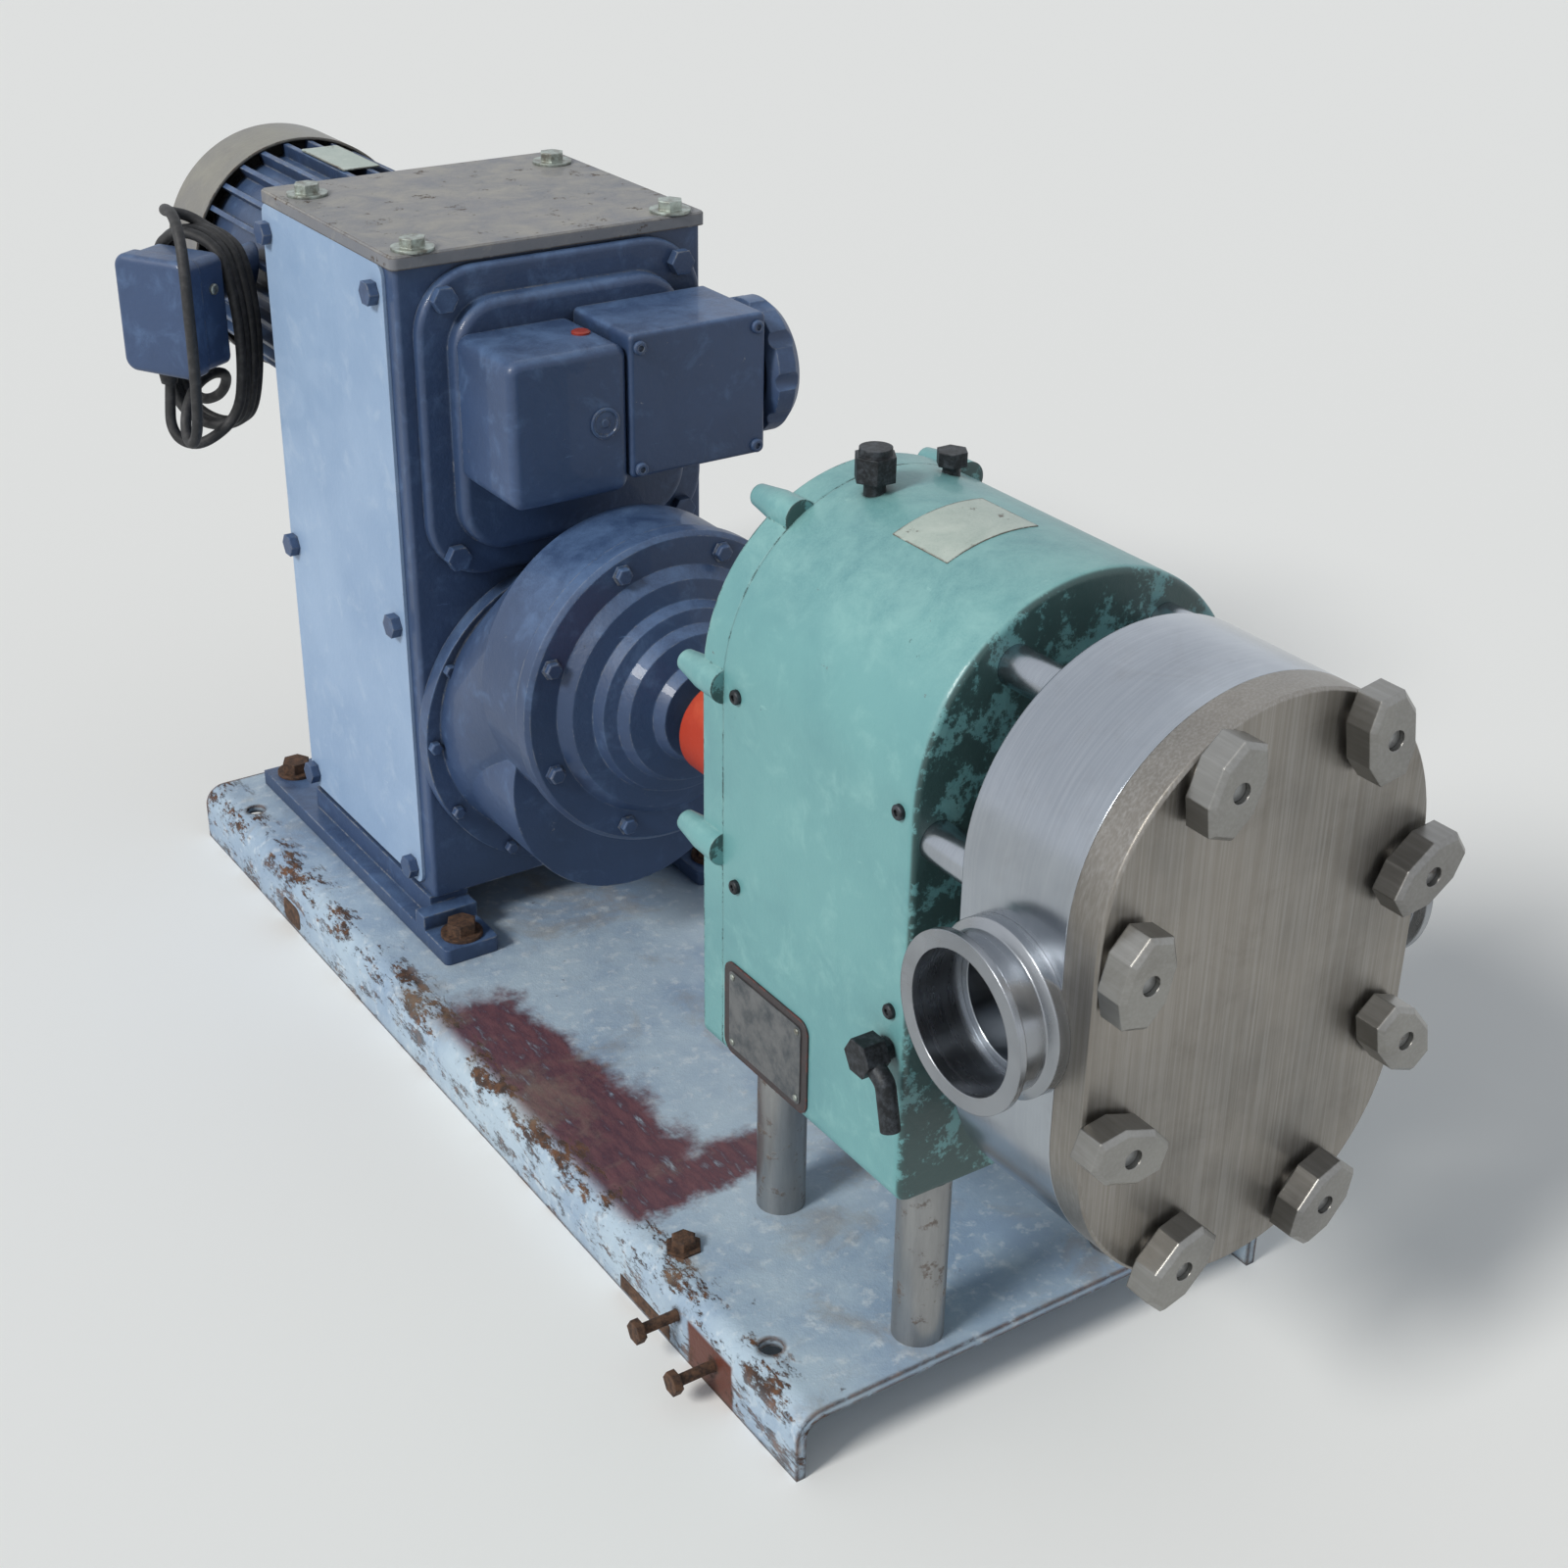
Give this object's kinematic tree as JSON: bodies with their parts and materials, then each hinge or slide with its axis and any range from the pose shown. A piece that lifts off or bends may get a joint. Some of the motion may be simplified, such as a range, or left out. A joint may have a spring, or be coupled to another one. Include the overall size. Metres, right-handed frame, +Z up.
{
  "type": "rotary lobe pump unit",
  "caption": "Rotary lobe pump on a folded steel base, driven through a coupling, reducer, belt variator and foot-mounted motor, with clamp ferrule ports.",
  "frame": {"origin": "middle of the unit's footprint at floor level", "axes": "+Z up, -Y towards the pump's front cover, +X towards the outlet port; shafts lie along Y"},
  "size_m": [0.37, 1.193, 0.547],
  "materials": {
    "base_enamel": "chipped pale blue-white enamel with rust at its edges",
    "rusty_steel": "weathered steel, rust brown",
    "bright_steel": "ground bar, dull with light rust specks",
    "green_enamel": "mint green enamel, scratched, dark green where chipped",
    "black_fitting": "dark burnished pipe fitting",
    "bearing_steel": "ground bearing rings",
    "stainless": "satin stainless steel",
    "brushed_stainless": "stainless plate, brushed upright, lightly stained",
    "gear_steel": "oiled machined steel",
    "coupling_enamel": "orange-red enamel",
    "black_rubber": "matt black rubber",
    "blue_enamel": "slate blue enamel on castings, worn at the edges",
    "panel_enamel": "light blue-grey enamelled sheet",
    "cowl_enamel": "grey-beige enamel, greenish at the sides",
    "black_plastic": "matt black moulded plastic"
  },
  "bodies": {
    "root": {"base_plate": "base_enamel", "base_side_bolts": "rusty_steel", "support_posts": "bright_steel", "gear_case": "green_enamel", "gear_case_rear_cover": "green_enamel", "breather": "black_fitting", "filler_plug": "black_fitting", "drain_fitting": "black_fitting", "shaft_bearings": "bearing_steel", "rotor_case": "stainless", "inlet_ferrule": "stainless", "outlet_ferrule": "stainless", "front_cover": "brushed_stainless", "cover_studs": "bright_steel", "stud_spacers": "stainless", "cover_nuts": "stainless", "shaft_seals": "stainless", "reducer_housing": "blue_enamel", "reducer_cover": "blue_enamel", "variator_housing": "blue_enamel", "variator_top_plate": "blue_enamel", "top_plate_bolts": "bright_steel", "side_panel_left": "panel_enamel", "side_panel_right": "panel_enamel", "variator_bolts": "blue_enamel", "control_cover": "blue_enamel", "control_housing": "blue_enamel", "control_gearbox": "blue_enamel", "variator_belt": "black_rubber", "variator_foot_left": "blue_enamel", "variator_foot_right": "blue_enamel", "foot_bolts": "rusty_steel", "motor_flange": "blue_enamel", "motor_housing": "blue_enamel", "fan_cowl": "cowl_enamel", "terminal_box_lid": "blue_enamel", "terminal_box": "blue_enamel", "cable_gland": "black_rubber", "motor_lead": "black_rubber", "motor_lead_hank": "black_rubber", "lead_plug": "black_plastic"},
    "drive_line": {"pump_shaft_lower": "bright_steel", "rotor_nut_lower": "stainless", "rotor_lower": "stainless", "timing_gear_lower": "gear_steel", "coupling_hub_pump": "coupling_enamel", "coupling_spider": "black_rubber", "coupling_hub_drive": "coupling_enamel", "reducer_wheel": "gear_steel", "reducer_output_shaft": "bright_steel"},
    "driven_line": {"pump_shaft_upper": "bright_steel", "rotor_nut_upper": "stainless", "rotor_upper": "stainless", "timing_gear_upper": "gear_steel"},
    "reducer_input": {"reducer_pinion_shaft": "gear_steel", "variator_pulley_lower": "gear_steel"},
    "motor_rotor": {"motor_shaft": "bright_steel", "cooling_fan": "black_plastic", "variator_pulley_upper": "gear_steel"},
    "speed_handwheel": {"handwheel": "blue_enamel"}
  },
  "joints": [
    {"name": "drive_shaft_spin", "type": "hinge", "parent": "root", "child": "drive_line", "pos_m": [0.0145, -0.3475, 0.2715], "axis": [0, 1, 0], "continuous": true},
    {"name": "driven_shaft_spin", "type": "hinge", "parent": "root", "child": "driven_line", "pos_m": [0.0145, -0.3475, 0.3815], "axis": [0, 1, 0], "continuous": true},
    {"name": "reducer_input_spin", "type": "hinge", "parent": "root", "child": "reducer_input", "pos_m": [0.0145, 0.0525, 0.1995], "axis": [0, 1, 0], "continuous": true},
    {"name": "motor_shaft_spin", "type": "hinge", "parent": "root", "child": "motor_rotor", "pos_m": [0.0165, 0.3525, 0.429], "axis": [0, 1, 0], "continuous": true},
    {"name": "speed_handwheel_turn", "type": "hinge", "parent": "root", "child": "speed_handwheel", "pos_m": [0.1345, 0.0575, 0.445], "axis": [1, 0, 0], "range_deg": [-1710, 1710]}
  ],
  "couplings": [
    {"joint": "driven_shaft_spin", "follows": "drive_shaft_spin", "ratio": -1},
    {"joint": "reducer_input_spin", "follows": "drive_shaft_spin", "ratio": -2.2},
    {"joint": "motor_shaft_spin", "follows": "drive_shaft_spin", "ratio": -2.6231}
  ]
}
